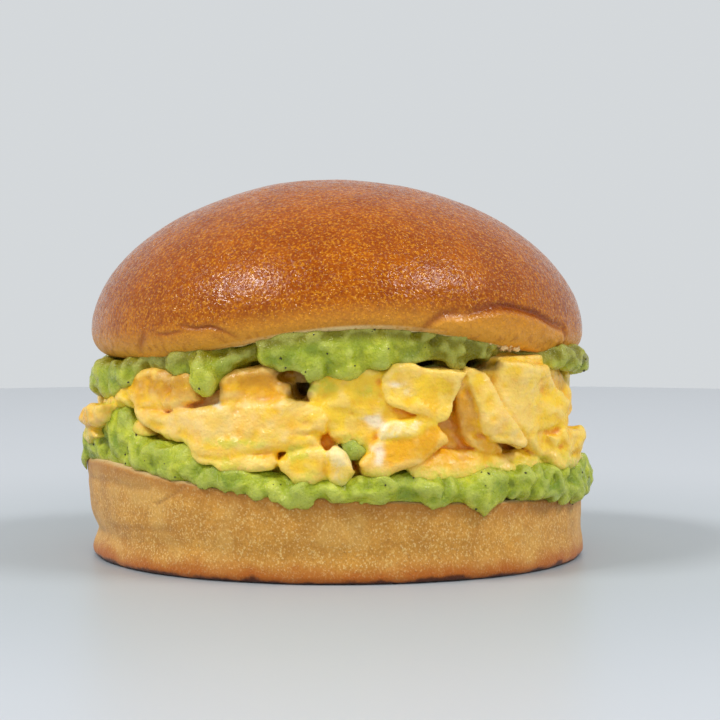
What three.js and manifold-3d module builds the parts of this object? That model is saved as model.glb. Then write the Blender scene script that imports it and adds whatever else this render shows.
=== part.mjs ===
// A brioche bun sandwich, in millimetres, +Z up and -Y its front.
// The origin is the middle of the flat face that the heel of the bun rests on.
// From the table up it is the heel of the bun, a spread of mashed avocado, soft scrambled egg heaped in
// large folds, a second spread of avocado, and the glazed crown of the bun, which arches over the heap.
// An azimuth is in degrees round the sandwich: 0 is the front, 90 its right side, 180 the back.

import * as THREE from "three";
import { mergeVertices } from "three/addons/utils/BufferGeometryUtils.js";
import Module from "manifold-3d";

const wasm = await Module();
wasm.setup();

// ---- Driving dimensions ----

const GAP = 0.3; // left between two layers that touch
const ROUND = 360;

const CROWN_RADIUS = 52.5;
const CROWN_TOP = 79.6;
const CROWN_WIDEST = 47.3; // the height at which the crown is widest, at its sides
const CROWN_POWER = 1.9; // of the superellipse that the dome follows; 2 is a plain ellipse
const RIM_LOW = 42.2; // the lowest height of the crown's cut edge
const RIM_ARCH = { front: 8, rise: 7.4, width: 38, back: 172, backRise: 4.2, backWidth: 48 };
const RIM_TUCK = { side: 4.2, front: 1.6 }; // how far the rim turns in under the widest line
const CROWN_FLOOR = 46.4; // the height of the cut face at its middle

const HEEL_RADIUS = 52.7;
const HEEL_TOP = 17; // the height of its cut face at the middle
const HEEL_FALL = 0.06; // how much the cut face falls for each millimetre to the right
const HEEL_CREST = { azimuth: -60, width: 20, rise: 1.6, from: 0.6 }; // where its cut edge stands higher
const HEEL_FOOT = 1.5; // the round of its lower edge
const HEEL_WAIST = { height: 5.6, spread: 2.6, depth: 0.4, leftDepth: 1.4 };

const EGG_FLOOR = 21.4; // where the egg lies on the lower spread
const EGG_ROOF = 40.2; // where the upper spread lies on the egg
const EGG_CORE_RADIUS = 46;

// ---- Small helpers ----

const radians = THREE.MathUtils.degToRad;
const mix = THREE.MathUtils.lerp;
const { smoothstep } = THREE.MathUtils;

// The turn from one azimuth to another, from -180 to 180 degrees.
function turn(from, to) {
  return ((((to - from) % ROUND) + ROUND * 1.5) % ROUND) - ROUND / 2;
}

// 1 at the middle of a swell, and nearly nothing past twice its width.
function swell(azimuth, middle, width) {
  return Math.exp(-((turn(middle, azimuth) / width) ** 2));
}

// The point at an azimuth, a distance from the sandwich's axis, and a height.
function at(azimuth, reach, height) {
  const a = radians(azimuth);
  return new THREE.Vector3(reach * Math.sin(a), -reach * Math.cos(a), height);
}

// A number from 0 to 1 that is always the same for the same three whole numbers.
function chance(i, j, k) {
  const s = Math.sin(i * 127.1 + j * 311.7 + k * 74.7) * 43758.5453;
  return s - Math.floor(s);
}

// Soft unevenness from -1 to 1, whose lumps are about the given size across.
function lumps(point, size, seed = 0) {
  const p = point.clone().divideScalar(size).addScalar(seed * 17.3);
  const low = p.clone().floor();
  const share = p.clone().sub(low);
  const [u, v, w] = share.toArray().map((t) => t * t * (3 - 2 * t));
  let sum = 0;
  for (let corner = 0; corner < 8; corner++) {
    const [i, j, k] = [corner & 1, (corner >> 1) & 1, corner >> 2];
    const weight = (i ? u : 1 - u) * (j ? v : 1 - v) * (k ? w : 1 - w);
    sum += weight * chance(low.x + i, low.y + j, low.z + k);
  }
  return 2 * sum - 1;
}

// A closed skin. section(azimuth) lists its points at that azimuth, from the axis above to the axis below.
function moulded(sectors, section) {
  const geometry = new THREE.SphereGeometry(1, sectors, section(0).length - 1);
  const position = geometry.getAttribute("position");
  const uv = geometry.getAttribute("uv");
  const sections = Array.from({ length: sectors }, (_, i) => section((i * ROUND) / sectors));
  for (let i = 0; i < position.count; i++) {
    const sector = (Math.round(uv.getX(i) * sectors) + sectors) % sectors;
    const ring = Math.round((1 - uv.getY(i)) * (sections[0].length - 1));
    position.setXYZ(i, ...sections[sector][ring].toArray());
  }
  return geometry;
}

// A three.js geometry as a solid that can be joined and cut.
function solid(geometry) {
  const bare = new THREE.BufferGeometry();
  bare.setAttribute("position", geometry.getAttribute("position"));
  bare.setIndex(geometry.getIndex());
  const merged = mergeVertices(bare, 1e-4);
  return new wasm.Manifold(
    new wasm.Mesh({
      numProp: 3,
      vertProperties: new Float32Array(merged.getAttribute("position").array),
      triVerts: new Uint32Array(merged.getIndex().array),
    }),
  );
}

// A cut can leave loose crumbs, which are dropped.
function largest(cut) {
  return cut.decompose().reduce((a, b) => (a.volume() > b.volume() ? a : b));
}

function piece(name, made, color, roughness) {
  const mesh = made.getMesh();
  const geometry = new THREE.BufferGeometry();
  geometry.setAttribute("position", new THREE.BufferAttribute(mesh.vertProperties, 3));
  geometry.setIndex(new THREE.BufferAttribute(mesh.triVerts, 1));
  geometry.computeVertexNormals();
  const material = new THREE.MeshStandardMaterial({ color, roughness, metalness: 0 });
  const made3d = new THREE.Mesh(geometry, material);
  made3d.name = name;
  return made3d;
}

// ---- The heel: the flat lower half of the bun, cut level but a little thicker on the left ----

function heelTop(azimuth, share) {
  const { azimuth: middle, width, rise, from } = HEEL_CREST;
  const crest = rise * swell(azimuth, middle, width) * smoothstep(share, from, 1);
  return HEEL_TOP - HEEL_FALL * share * HEEL_RADIUS * Math.sin(radians(azimuth)) + crest;
}

function heelRadius(azimuth, height) {
  const left = swell(azimuth, -90, 45);
  const waist = mix(HEEL_WAIST.depth, HEEL_WAIST.leftDepth, left);
  const pinch = waist * Math.exp(-(((height - HEEL_WAIST.height) / HEEL_WAIST.spread) ** 2));
  const flare = left * 0.09 * Math.max(0, height - 9);
  const foot = Math.max(0, 1 - height / HEEL_FOOT);
  const round = HEEL_FOOT * (1 - Math.sqrt(1 - foot * foot));
  return HEEL_RADIUS - pinch + flare - round + 0.35 * lumps(at(azimuth, HEEL_RADIUS, height), 16, 1);
}

function heelSection(azimuth, grow) {
  const faceRings = 3;
  const sideRings = 9;
  const edge = heelTop(azimuth, 1);
  const points = [];
  for (let i = 0; i < faceRings; i++) {
    const share = (i / faceRings) ** 0.6 * 0.98;
    points.push(at(azimuth, HEEL_RADIUS * share, heelTop(azimuth, share) + grow));
  }
  for (let i = 0; i <= sideRings; i++) {
    const height = edge * (1 - i / sideRings) ** 1.3;
    const lift = i === 0 ? grow : i === sideRings ? -grow : 0;
    points.push(at(azimuth, heelRadius(azimuth, height) + grow, height + lift));
  }
  points.push(at(0, 0, -grow));
  return points;
}

const heel = (grow = 0) => solid(moulded(60, (azimuth) => heelSection(azimuth, grow)));

// ---- The crown: the domed upper half of the bun ----

function rimLift(azimuth) {
  const { front, rise, width, back, backRise, backWidth } = RIM_ARCH;
  return rise * swell(azimuth, front, width) + backRise * swell(azimuth, back, backWidth);
}

// Folds in the crust beside the rim. Each runs from one azimuth to another at a height that bows up in
// the middle, and the crust under it stands out as a lip.
const CROWN_FOLDS = [
  { from: -50, to: -20, height: 48.4, bow: 1.6, depth: 0.7 },
  { from: 22, to: 68, height: 49, bow: 3.6, depth: 1.3 },
  { from: 150, to: 190, height: 49.5, bow: 1.4, depth: 0.8 },
  { from: -120, to: -96, height: 47.2, bow: 1, depth: 0.6 },
];

function crownFold(azimuth, height) {
  let inwards = 0;
  for (const { from, to, height: start, bow, depth } of CROWN_FOLDS) {
    const share = turn(from, azimuth) / turn(from, to);
    if (share <= 0 || share >= 1) continue;
    const above = height - start - bow * Math.sin(share * Math.PI);
    const reach = Math.sqrt(Math.sin(share * Math.PI)) * depth;
    inwards += reach * (Math.exp(-((above / 0.8) ** 2)) - 0.5 * Math.exp(-(((above + 2.4) / 1.6) ** 2)));
  }
  return inwards;
}

function crownSection(azimuth, grow) {
  const domeRings = 13;
  const tuckRings = 4;
  const faceRings = 3;
  const lift = rimLift(azimuth);
  const front = swell(azimuth, RIM_ARCH.front, RIM_ARCH.width);
  const widest = CROWN_WIDEST + 0.6 * lift;
  const rim = RIM_LOW + lift;
  const tuck = mix(RIM_TUCK.side, RIM_TUCK.front, front);
  const points = [];
  for (let i = 0; i <= domeRings; i++) {
    const slope = radians(90 * (1 - i / domeRings));
    const reach = CROWN_RADIUS * Math.cos(slope) ** (2 / CROWN_POWER);
    const height = widest + (CROWN_TOP - widest) * Math.sin(slope) ** (2 / CROWN_POWER);
    const uneven = i ? 0.3 * lumps(at(azimuth, reach, height), 20, 2) : 0;
    const fold = crownFold(azimuth, height);
    const out = Math.cos(slope) * (grow + uneven - fold);
    points.push(at(azimuth, reach + out, height + Math.sin(slope) * (grow + uneven)));
  }
  for (let i = 1; i <= tuckRings; i++) {
    const slope = radians((90 * i) / tuckRings);
    const reach = CROWN_RADIUS - tuck * (1 - Math.cos(slope));
    const height = widest - (widest - rim) * Math.sin(slope);
    const fold = i < tuckRings ? crownFold(azimuth, height) : 0;
    points.push(at(azimuth, reach + grow - fold, height - Math.sin(slope) * grow));
  }
  for (let i = 1; i <= faceRings; i++) {
    const share = 1 - i / faceRings;
    const height = mix(CROWN_FLOOR, rim, smoothstep(share, 0.3, 1)) - grow;
    points.push(at(azimuth, (CROWN_RADIUS - tuck) * share, height));
  }
  return points;
}

const crown = (grow = 0) => solid(moulded(64, (azimuth) => crownSection(azimuth, grow)));

// ---- The scrambled egg: one heap of large soft folds, stuck together round a plain core ----

// A fold is a soft pad on the side of the heap. out is how far it reaches from the axis, width runs round
// the sandwich and height up. roll turns it anticlockwise as seen from outside, lean tips its top
// outwards, and bend curls its ends up.
const FRONT_FOLDS = [
  { azimuth: -75, level: 29.8, out: 54.6, width: 15, height: 9, roll: 16 }, // far left
  { azimuth: -62, level: 34.4, out: 50, width: 15, height: 7.5 }, // pale, left
  { azimuth: -46, level: 35.8, out: 50, width: 22, height: 8.6, roll: -6, lean: -10 }, // left shelf
  { azimuth: -19, level: 37, out: 48.4, width: 19, height: 10, roll: -8 }, // behind the drop
  { azimuth: -27, level: 30.2, out: 51, width: 42, height: 10.5, roll: 5, bend: -0.14 }, // big smear
  { azimuth: -32, level: 26, out: 51.6, width: 34, height: 8, roll: -6 }, // its lower half
  { azimuth: -24, level: 23, out: 52.6, width: 27, height: 6, roll: -8, lean: -20 }, // lower lip
  { azimuth: -7, level: 23, out: 52.8, width: 14, height: 9, roll: 10 }, // small chunk
  { azimuth: 2, level: 23.6, out: 53, width: 11, height: 10, roll: 14 }, // pale curd
  { azimuth: 1, level: 35.6, out: 50, width: 22, height: 11, roll: -18 }, // centre fold, left
  { azimuth: 8, level: 31.6, out: 49.4, width: 15, height: 13, roll: -24 }, // its tongue
  { azimuth: 21, level: 35.6, out: 50.6, width: 19, height: 13.5, roll: 12, lean: 8 }, // its flap
  { azimuth: 15, level: 28.6, out: 50.8, width: 19, height: 6.4, roll: 10, bend: -0.2 }, // roll, top edge
  { azimuth: 16, level: 25, out: 51.6, width: 19, height: 8, roll: 18, lean: -14 }, // roll, belly
  { azimuth: 43, level: 23.2, out: 52.8, width: 46, height: 5.6, roll: 3 }, // flat slab
  { azimuth: 30, level: 32.6, out: 50.4, width: 7, height: 17, roll: 6 }, // curled strip
  { azimuth: 35, level: 27.8, out: 50.6, width: 15, height: 6, roll: -22, bend: 0.3 }, // its hook
  { azimuth: 39, level: 33.4, out: 51.8, width: 11, height: 19, roll: 30 }, // pointed ear
  { azimuth: 51, level: 39, out: 50.6, width: 14, height: 17, roll: 4 }, // pillar, top
  { azimuth: 53, level: 33, out: 51.8, width: 19, height: 17, roll: 24 }, // pillar, belly
  { azimuth: 60, level: 27.6, out: 52, width: 12, height: 8, roll: 34 }, // pillar, toe
  { azimuth: 73, level: 35, out: 51, width: 14, height: 15, roll: -6 }, // behind the pillar
  { azimuth: 71, level: 25.6, out: 53.4, width: 12, height: 7 }, // right block
];

// Round the sides and the back the folds lie in tiers, each turned and sized a little differently.
const BACK_TIERS = [
  { level: 24, count: 8, width: 29, height: 9, out: 52 },
  { level: 30.2, count: 9, width: 26, height: 10, out: 50.6 },
  { level: 36.6, count: 8, width: 28, height: 10, out: 50 },
];
const BACK_FROM = 86;
const BACK_TO = 276;

function backFolds() {
  return BACK_TIERS.flatMap(({ level, count, width, height, out }, tier) =>
    Array.from({ length: count }, (_, i) => {
      const vary = (spread, draw) => spread * (2 * chance(tier, i, draw) - 1);
      return {
        azimuth: mix(BACK_FROM, BACK_TO, (i + 0.5) / count) + vary(5, 1),
        level: level + vary(1.2, 2),
        out: out + vary(1.4, 3),
        width: width * (1 + vary(0.25, 4)),
        height: height * (1 + vary(0.2, 5)),
        roll: vary(24, 6),
        lean: vary(12, 7),
        bend: vary(0.16, 8),
      };
    }),
  );
}

// How far one fold reaches from the axis at a point of the heap's side.
function foldReach(fold, azimuth, level) {
  const { out, width, height, roll = 0, lean = 0, bend = 0 } = fold;
  const squareness = 2.6;
  const root = EGG_CORE_RADIUS - 1.5; // where its edge dies into the core
  const along = radians(turn(fold.azimuth, azimuth)) * out;
  const up = level - fold.level;
  const [c, s] = [Math.cos(radians(roll)), Math.sin(radians(roll))];
  const u = (2 * (c * along + s * up)) / width;
  const v = (2 * (c * up - s * along)) / height - bend * (2 * u * u - 0.8);
  const within = 1 - Math.abs(u) ** squareness - Math.abs(v) ** squareness;
  return within > 0 ? root + (out + Math.tan(radians(lean)) * up - root) * Math.sqrt(within) : 0;
}

function eggSection(azimuth, folds) {
  const sideRings = 19;
  const overlap = 2.5; // taken off again where the spreads and the bun cut the heap
  const blend = 0.5; // how softly two folds meet
  const [roof, floor] = [EGG_ROOF + overlap + 2, EGG_FLOOR - overlap];
  const points = [at(0, 0, roof)];
  for (let i = 0; i <= sideRings; i++) {
    const level = mix(roof, floor, i / sideRings);
    const p = at(azimuth, EGG_CORE_RADIUS, level);
    const core = EGG_CORE_RADIUS + 1.2 * lumps(p, 9, 3);
    const above = folds.map((fold) => foldReach(fold, azimuth, level) - core);
    const over = above.reduce((sum, height) => sum + Math.exp(height / blend), 1);
    points.push(at(azimuth, core + blend * Math.log(over) + 0.5 * lumps(p, 4, 4), level));
  }
  points.push(at(0, 0, floor));
  return points;
}

function egg() {
  const folds = [...FRONT_FOLDS, ...backFolds()];
  return solid(moulded(108, (azimuth) => eggSection(azimuth, folds)));
}

// ---- The two spreads of mashed avocado: lumpy discs that bulge past the bun and hang in drips ----

// How far the edge of each spread swells away from its usual height and reach, round the sandwich.
const LOWER_SPREAD = {
  reach: 52.8,
  top: 22.2,
  bottom: 15,
  inside: { top: EGG_FLOOR, bottom: HEEL_TOP - 4 },
  swells: [
    { azimuth: -94, width: 11, top: 5, bottom: -2, out: 2.2 },
    { azimuth: -68, width: 13, top: 7, bottom: 2.6, out: 1.2 },
    { azimuth: -48, width: 14, top: 5, bottom: 3.6, out: 0.7 },
    { azimuth: -26, width: 12, top: 0.4, bottom: 1.4, out: 0.8 },
    { azimuth: -6, width: 16, top: -1.6, bottom: -0.6, out: 1.8 },
    { azimuth: 14, width: 9, top: 0.2, bottom: 0.2, out: 1 },
    { azimuth: 27, width: 3.4, top: 0, bottom: -1.8, out: 1 },
    { azimuth: 37, width: 5, top: 0.4, bottom: -3.4, out: 2 },
    { azimuth: 60, width: 12, top: 0.6, bottom: -2.8, out: 1.8 },
    { azimuth: 88, width: 20, top: 0.2, bottom: -4, out: 2.6 },
    { azimuth: 128, width: 14, top: 0.8, bottom: -1.4, out: 1.6 },
    { azimuth: 160, width: 9, top: -0.4, bottom: -2.8, out: 1.6 },
    { azimuth: 196, width: 20, top: 1.6, bottom: 0.6, out: 1.2 },
    { azimuth: 232, width: 8, top: 0.4, bottom: -2.2, out: 2 },
  ],
};
const UPPER_SPREAD = {
  reach: 49.6,
  top: 50,
  bottom: 40.6,
  inside: { top: CROWN_FLOOR + 2, bottom: EGG_ROOF },
  swells: [
    { azimuth: -95, width: 22, top: -8, bottom: -5.4, out: 4 },
    { azimuth: -62, width: 14, top: 0, bottom: -1.4, out: 1.2 },
    { azimuth: -34, width: 6, top: 0, bottom: -4.8, out: 2 },
    { azimuth: 4, width: 17, top: 0, bottom: 0, out: 2.2 },
    { azimuth: 33, width: 14, top: 0, bottom: 1, out: -2.6 },
    { azimuth: 78, width: 12, top: -6.5, bottom: -1.6, out: 5 },
    { azimuth: 118, width: 14, top: -3, bottom: -2.6, out: 2.2 },
    { azimuth: 150, width: 10, top: 0, bottom: 0, out: 0.6 },
    { azimuth: 186, width: 20, top: 0, bottom: -1.6, out: 2.4 },
    { azimuth: 226, width: 12, top: -4, bottom: -3.4, out: 2.8 },
  ],
};

function spreadSection(azimuth, { reach, top, bottom, inside, swells }, seed, grow) {
  const rings = 12;
  const edge = { reach, top, bottom };
  for (const swelling of swells) {
    const share = swell(azimuth, swelling.azimuth, swelling.width);
    edge.reach += share * swelling.out;
    edge.top += share * swelling.top;
    edge.bottom += share * swelling.bottom;
  }
  const points = [];
  for (let i = 0; i <= rings; i++) {
    const slope = radians(90 - (180 * i) / rings);
    const out = Math.max(0, Math.cos(slope)) ** 0.32;
    const outer = smoothstep(out, 0.72, 0.9);
    const upper = mix(inside.top, edge.top, outer);
    const lower = mix(inside.bottom, edge.bottom, outer);
    const up = Math.sign(slope) * Math.abs(Math.sin(slope)) ** 0.55;
    const height = (upper + lower) / 2 + ((upper - lower) / 2) * up;
    const p = at(azimuth, out * edge.reach, height);
    const uneven = outer * (1.2 * lumps(p, 8, seed) + 1.1 * lumps(p, 3.8, seed + 1)) + grow;
    points.push(at(azimuth, out * edge.reach + uneven * Math.cos(slope), height + uneven * up));
  }
  points[0] = at(0, 0, inside.top + grow);
  points[rings] = at(0, 0, inside.bottom - grow);
  return points;
}

const spread = (shape, seed, grow = 0) =>
  solid(moulded(84, (azimuth) => spreadSection(azimuth, shape, seed, grow)));

// ---- The sandwich ----

const round = [heel(GAP), crown(GAP)];
const lowerAvocado = largest(spread(LOWER_SPREAD, 5).subtract(round[0]));
const upperAvocado = largest(spread(UPPER_SPREAD, 9).subtract(round[1]));
const spreads = [spread(LOWER_SPREAD, 5, GAP), spread(UPPER_SPREAD, 9, GAP)];
const eggHeap = largest([...round, ...spreads].reduce((heap, cutter) => heap.subtract(cutter), egg()));

const sandwich = new THREE.Group();
sandwich.add(
  piece("bun_heel", heel(), 0xcf9a55, 0.8),
  piece("avocado_lower", lowerAvocado, 0xa4bb4c, 0.45),
  piece("scrambled_egg", eggHeap, 0xf3c551, 0.4),
  piece("avocado_upper", upperAvocado, 0x9db748, 0.45),
  piece("bun_crown", crown(), 0xb26a30, 0.35),
);

export default sandwich;
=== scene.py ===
"""A brioche bun filled with soft scrambled egg between two spreads of mashed avocado.

The CAD frame gives the size and the place of the heel, the lower avocado, the egg, the upper avocado and
the crown. Each is made again here at full detail, from the table up. Sizes are in millimetres, and an
azimuth is in degrees round the sandwich: 0 is the front, 90 its right side.
"""

import math

import bmesh
import bpy
import numpy as np
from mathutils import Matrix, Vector


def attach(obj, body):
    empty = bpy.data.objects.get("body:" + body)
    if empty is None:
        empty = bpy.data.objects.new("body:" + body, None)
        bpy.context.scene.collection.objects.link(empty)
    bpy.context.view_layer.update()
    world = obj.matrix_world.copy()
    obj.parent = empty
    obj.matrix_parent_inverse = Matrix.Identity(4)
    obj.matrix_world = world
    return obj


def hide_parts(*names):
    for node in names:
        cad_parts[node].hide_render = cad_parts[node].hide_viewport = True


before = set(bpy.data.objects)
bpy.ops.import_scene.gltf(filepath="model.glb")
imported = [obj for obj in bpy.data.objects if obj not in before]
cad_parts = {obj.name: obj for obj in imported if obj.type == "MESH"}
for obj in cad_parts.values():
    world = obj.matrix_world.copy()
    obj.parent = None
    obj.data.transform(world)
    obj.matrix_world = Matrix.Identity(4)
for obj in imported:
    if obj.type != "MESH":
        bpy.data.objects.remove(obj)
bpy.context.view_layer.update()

# ---- The heel of the bun ----
# The flat lower half of the bun: a soft golden crust round a pale crumb, cut level with a knife. It is
# thicker on the left, pinched in above its foot there, and baked darkest where it stood on the tray.

MM = 0.001
HEEL_RADIUS = 52.7
HEEL_TOP = 17.0
HEEL_FALL = 0.06  # how much the cut face falls for each millimetre to the right
HEEL_CREST = {"azimuth": -60, "width": 20, "rise": 1.6}
HEEL_FOOT = 1.5  # the round of its lower edge
HEEL_SECTORS, FACE_RINGS, SIDE_RINGS, FOOT_RINGS = 440, 16, 96, 5
LINES_AT = 53  # the reach at which its crack and wrinkles are laid out
HEEL_CRACK = [(-34, 18.6), (-36.5, 16.8), (-39, 15.6), (-42.5, 14.2)]
HEEL_WRINKLES = [
    [(-86, 16.4), (-77, 16.9), (-60, 17.4), (-51, 16.9), (-45, 17.2)],
    [(-60, 8.0), (-47, 8.7), (-38, 9.2)],
    [(-92, 6.4), (-80, 5.4), (-70, 5.9)],
    [(118, 11.2), (131, 10.2), (140, 10.8)],
    [(214, 12.6), (226, 13.2), (240, 12.2)],
]


def turn(start, azimuth):
    """Degrees from start round to azimuth, from -180 to 180."""
    return (azimuth - start + 180) % 360 - 180


def way_round(start, azimuth, reach):
    """Millimetres round the side from start to azimuth."""
    return np.radians(turn(start, azimuth)) * reach


def bell(x, width):
    return np.exp(-((x / width) ** 2))


def swell(azimuth, middle, width):
    return bell(turn(middle, azimuth), width)


def ease(x, low, high):
    t = np.clip((x - low) / (high - low), 0, 1)
    return t * t * (3 - 2 * t)


def place(azimuth, reach, height):
    a = np.radians(azimuth)
    return np.stack(np.broadcast_arrays(reach * np.sin(a), -reach * np.cos(a), height), axis=-1)


def between(cell, share, value_at):
    """The values at the eight corners of each cell, mixed by the share of the way across it."""
    total = 0
    for k, j, i in np.ndindex(2, 2, 2):
        step = np.array([i, j, k])
        weight = np.prod(np.where(step, share, 1 - share), axis=-1)
        total = total + weight * value_at(*np.moveaxis(cell + step, -1, 0))
    return total


def lumps(points, size, seed):
    """Soft unevenness from -1 to 1, in lumps about size across."""
    q = points / size + seed * 17.3
    cell = np.floor(q).astype(np.int64)
    share = ease(q - cell, 0, 1)
    draws = np.random.default_rng(7).uniform(-1, 1, 4096)
    return between(cell, share, lambda i, j, k: draws[(i * 73856093 ^ j * 19349663 ^ k * 83492791) & 4095])


def near_line(azimuth, height, radius, line):
    """Distance in mm from each point of a bun's side to a line drawn on it."""
    across = way_round(line[0][0], azimuth, radius)
    found = np.full(np.broadcast(across, height).shape, 1e6)
    for (a0, z0), (a1, z1) in zip(line, line[1:]):
        x0, x1 = (way_round(line[0][0], a, radius) for a in (a0, a1))
        length = (x1 - x0) ** 2 + (z1 - z0) ** 2
        t = np.clip(((across - x0) * (x1 - x0) + (height - z0) * (z1 - z0)) / length, 0, 1)
        gap = np.hypot(across - x0 - t * (x1 - x0), height - z0 - t * (z1 - z0))
        found = np.minimum(found, gap)
    return found


def heel_top(azimuth, reach):
    crest = swell(azimuth, HEEL_CREST["azimuth"], HEEL_CREST["width"])
    crest = HEEL_CREST["rise"] * crest * ease(reach / HEEL_RADIUS, 0.6, 1)
    return HEEL_TOP - HEEL_FALL * reach * np.sin(np.radians(azimuth)) + crest


def heel_reach(azimuth, height):
    left = swell(azimuth, -90, 45)
    waist = 0.4 + 1.0 * left
    pinch = waist * bell(height - 5.6, 2.6)
    flare = left * 0.09 * np.maximum(0, height - 9)
    foot = np.clip(1 - height / HEEL_FOOT, 0, 1)
    rounding = HEEL_FOOT * (1 - np.sqrt(1 - foot * foot))
    spread = 1.1 * swell(azimuth, 52, 34) * (1 - ease(height, 2, 12))
    return HEEL_RADIUS - pinch + flare - rounding + spread


def mesh_of(name, verts, faces):
    mesh = bpy.data.meshes.new(name)
    mesh.from_pydata(verts, [], faces)
    return mesh


def put(name, data):
    """A new object at the origin of the scene."""
    made = bpy.data.objects.new(name, data)
    bpy.context.scene.collection.objects.link(made)
    return made


def add_mark(mesh, mark, values):
    mesh.attributes.new(mark, "FLOAT", "POINT").data.foreach_set("value", values.astype(np.float32))


def skin_of(name, points, **marks):
    """A closed mesh from points[sector, ring], whose first and last rings are single points."""
    sectors, rings = points.shape[:2]
    grid = points[:, 1:-1].reshape(-1, 3)
    verts = np.concatenate([grid, points[:1, 0], points[:1, -1]]) * MM
    i = np.arange(sectors)[:, None]
    k = np.arange(rings - 3)[None, :]
    near, far = i * (rings - 2), (i + 1) % sectors * (rings - 2)
    faces = np.stack([near + k, near + k + 1, far + k + 1, far + k], axis=-1).reshape(-1, 4).tolist()
    top, bottom = len(grid), len(grid) + 1
    near, far = near[:, 0], far[:, 0]
    faces += np.stack([near, far, np.full(sectors, top)], axis=-1).tolist()
    faces += np.stack([far + rings - 3, near + rings - 3, np.full(sectors, bottom)], axis=-1).tolist()
    mesh = mesh_of(name, verts.tolist(), faces)
    for mark, values in marks.items():
        values = np.broadcast_to(values, (sectors, rings))
        add_mark(mesh, mark, np.concatenate([values[:, 1:-1].ravel(), values[:1, 0], values[:1, -1]]))
    mesh.shade_smooth()
    mesh.validate()
    return put(name, mesh)


def paint(code):
    """A colour from the usual six-figure code, as the shaders take it."""
    parts = [int(code[i : i + 2], 16) / 255 for i in (0, 2, 4)]
    return [*(c / 12.92 if c <= 0.04045 else ((c + 0.055) / 1.055) ** 2.4 for c in parts), 1]


def feed(tree, socket, value):
    if isinstance(value, bpy.types.NodeSocket):
        tree.links.new(value, socket)
    else:
        socket.default_value = value


def add_node(tree, kind, inputs, **settings):
    """A node in a tree, with its settings made, and its inputs set or linked."""
    made = tree.nodes.new(kind)
    for key, value in settings.items():
        setattr(made, key, value)
    for key, value in inputs.items():
        feed(tree, made.inputs[key], value)
    return made


class Finish:
    """A procedural material, built node by node. Patterns are sized in mm on Object coordinates."""

    def __init__(self, name):
        self.material = bpy.data.materials.new(name)
        self.material.use_nodes = True
        self.tree = self.material.node_tree
        self.surface = self.tree.nodes["Principled BSDF"]
        self.where = self.tree.nodes.new("ShaderNodeTexCoord").outputs["Object"]

    def node(self, kind, inputs, **settings):
        return add_node(self.tree, kind, inputs, **settings)

    def noise(self, size, detail=2.0, rough=0.5, warp=0.0, upright=1.0):
        """Noise in lumps of a size, drawn out upwards where upright is below 1."""
        where = self.where
        if upright != 1:
            where = self.node("ShaderNodeMapping", {"Vector": where, "Scale": (1, 1, upright)}).outputs[0]
        inputs = dict(Vector=where, Scale=1 / (size * MM), Detail=detail, Roughness=rough, Distortion=warp)
        return self.node("ShaderNodeTexNoise", inputs).outputs[0]

    def cells(self, size):
        inputs = dict(Vector=self.where, Scale=1 / (size * MM))
        return self.node("ShaderNodeTexVoronoi", inputs).outputs["Distance"]

    def mark(self, name):
        return self.node("ShaderNodeAttribute", {}, attribute_name=name).outputs["Fac"]

    def height(self):
        return self.node("ShaderNodeSeparateXYZ", {0: self.where}).outputs["Z"]

    def span(self, value, low, high, start=0.0, end=1.0):
        inputs = {"Value": value, "From Min": low, "From Max": high, "To Min": start, "To Max": end}
        return self.node("ShaderNodeMapRange", inputs, interpolation_type="SMOOTHSTEP").outputs[0]

    def patches(self, size, low, high, detail=2.0, rough=0.5):
        return self.span(self.noise(size, detail, rough), low, high)

    def plus(self, a, b, operation="ADD"):
        return self.node("ShaderNodeMath", {0: a, 1: b}, operation=operation).outputs[0]

    def times(self, a, b):
        return self.plus(a, b, "MULTIPLY")

    def shifted(self, value, noise, by):
        """The value, moved up and down by a noise."""
        return self.plus(value, self.times(self.plus(noise, 0.5, "SUBTRACT"), by))

    def mix(self, share, a, b):
        """Two colours mixed, each a code or a socket."""
        a, b = (paint(c) if isinstance(c, str) else c for c in (a, b))
        return self.node("ShaderNodeMix", {0: share, 6: a, 7: b}, data_type="RGBA").outputs[2]

    def lay(self, share, colour, strength=1):
        """Lays a colour over the colour so far, by its share of each place."""
        share = share if strength == 1 else self.times(share, strength)
        self.colour = self.mix(share, self.colour, colour)

    def bump(self, height, depth, under=None):
        inputs = dict(Height=height, Distance=depth * MM, Strength=1.0)
        inputs |= {"Normal": under} if under else {}
        return self.node("ShaderNodeBump", inputs).outputs[0]

    def dress(self, *pieces, **sockets):
        """Feeds the surface, whose sockets are named with _ for a space, and gives it to the pieces."""
        for name, value in {"Base_Color": self.colour, **sockets}.items():
            feed(self.tree, self.surface.inputs[name.replace("_", " ")], value)
        for piece in pieces:
            piece.data.materials.append(self.material)


def crust(name, deep, mid, pale, speck, low, high):
    """Baked crust: pale at the height low, deep and blotched at the height high, and finely blistered."""
    f = Finish(name)
    bake = f.span(f.shifted(f.height(), f.noise(14, 3), 14 * MM), low * MM, high * MM)
    blotch = f.patches(7, 0.3, 0.7, 4, 0.6)
    f.colour = f.mix(bake, pale, f.mix(f.times(blotch, 0.75), mid, deep))
    blister = f.span(f.cells(0.62), 0.42, 0.12)
    f.lay(f.times(blister, f.patches(1.5, 0.32, 0.56, 3, 0.6)), speck, 0.5)
    f.lay(f.patches(1.1, 0.5, 0.66, 3, 0.6), deep, 0.5)
    return f, blister


def crumb_colour(f):
    holes = f.span(f.cells(1.5), 0.12, 0.34)
    return f.mix(holes, "c79f5a", f.mix(f.noise(4, 3), "f2dca6", "e9c98a"))


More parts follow.
